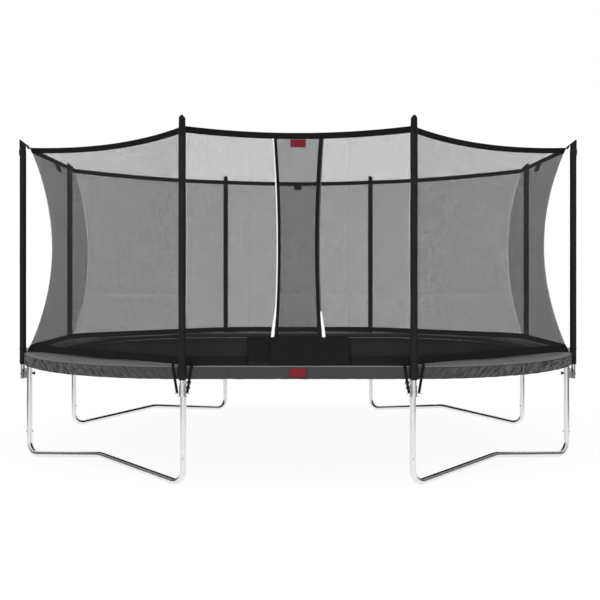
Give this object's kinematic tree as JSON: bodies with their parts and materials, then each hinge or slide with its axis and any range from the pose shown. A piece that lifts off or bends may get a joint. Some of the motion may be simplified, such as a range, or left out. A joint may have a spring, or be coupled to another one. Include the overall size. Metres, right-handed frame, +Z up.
{
  "type": "trampoline",
  "caption": "Oval garden trampoline on W-shaped legs, with a padded edge, a sprung mat and a safety net on padded posts with a flap entrance.",
  "frame": {"origin": "on the ground under the centre of the oval", "axes": "+X along the long axis of the oval, -Y towards the entrance, +Z up"},
  "size_m": [5.24, 3.5186, 2.843],
  "materials": {
    "galvanised_tube": "hot-dip galvanised, satin",
    "galvanised_plate": "hot-dip galvanised, satin",
    "zinc_fasteners": "zinc plated",
    "spring_steel": "galvanised, satin",
    "post_foam": "foam tube in a black matt sleeve",
    "black_plastic": "moulded, matt",
    "jumping_mat": "woven polypropylene, matt",
    "black_webbing": "woven webbing, matt",
    "pad_cover": "grey coated cloth over foam, matt",
    "net_mesh": "fine knitted mesh, matt",
    "label_cloth": "red woven label, matt"
  },
  "bodies": {
    "frame": {"rail_front": "galvanised_tube", "rail_rear": "galvanised_tube", "rail_left_end": "galvanised_tube", "rail_right_end": "galvanised_tube", "rail_right_rear": "galvanised_tube", "rail_left_rear": "galvanised_tube", "rail_left_front": "galvanised_tube", "rail_right_front": "galvanised_tube", "rail_spigots": "galvanised_tube", "leg_sockets": "galvanised_tube", "upright_right_rear_end": "galvanised_tube", "upright_right_rear": "galvanised_tube", "upright_left_rear": "galvanised_tube", "upright_left_rear_end": "galvanised_tube", "upright_left_front_end": "galvanised_tube", "upright_left_front": "galvanised_tube", "upright_right_front": "galvanised_tube", "upright_right_front_end": "galvanised_tube", "leg_base_right_rear": "galvanised_tube", "leg_base_left_rear": "galvanised_tube", "leg_base_left_front": "galvanised_tube", "leg_base_right_front": "galvanised_tube", "leg_screws": "zinc_fasteners", "post_right_rear_end": "galvanised_tube", "post_right_rear": "galvanised_tube", "post_left_rear": "galvanised_tube", "post_left_rear_end": "galvanised_tube", "post_left_front_end": "galvanised_tube", "post_left_front": "galvanised_tube", "post_right_front": "galvanised_tube", "post_right_front_end": "galvanised_tube", "post_sleeves": "post_foam", "post_caps": "black_plastic", "post_brackets": "galvanised_plate", "bracket_bolts": "zinc_fasteners", "bracket_knobs": "black_plastic", "springs": "spring_steel", "pad_front": "pad_cover", "pad_rear": "pad_cover", "pad_left": "pad_cover", "pad_right": "pad_cover", "net_right_rear": "net_mesh", "net_rear": "net_mesh", "net_left_rear": "net_mesh", "net_left_end": "net_mesh", "net_left_front": "net_mesh", "net_right_front": "net_mesh", "net_right_end": "net_mesh", "net_front_left": "net_mesh", "net_front_right": "net_mesh", "net_top_band": "black_webbing", "net_bottom_hem": "black_webbing", "hold_down_straps": "black_webbing", "corner_straps": "black_webbing", "corner_rings": "zinc_fasteners"},
    "mat_bed": {"mat": "jumping_mat", "mat_webbing": "black_webbing", "mat_rings": "zinc_fasteners"},
    "outer_flap": {"flap_outer": "net_mesh"},
    "inner_flap": {"flap_inner": "net_mesh"}
  },
  "joints": [
    {"name": "mat_bounce", "type": "slide", "parent": "frame", "child": "mat_bed", "axis": [0, 0, 1], "range_m": [-0.28, 0], "stiffness_N_per_m": 3700, "springref_m": 0.08, "deforming": ["springs"]},
    {"name": "outer_flap_swing", "type": "hinge", "parent": "frame", "child": "outer_flap", "pos_m": [0, -1.564, 2.692], "axis": [-1, 0, 0], "range_deg": [0, 24], "stiffness_Nm_per_rad": 3, "springref_deg": -28.65},
    {"name": "inner_flap_swing", "type": "hinge", "parent": "frame", "child": "inner_flap", "pos_m": [0, -1.564, 2.692], "axis": [1, 0, 0], "range_deg": [0, 24], "stiffness_Nm_per_rad": 3, "springref_deg": -28.65}
  ]
}
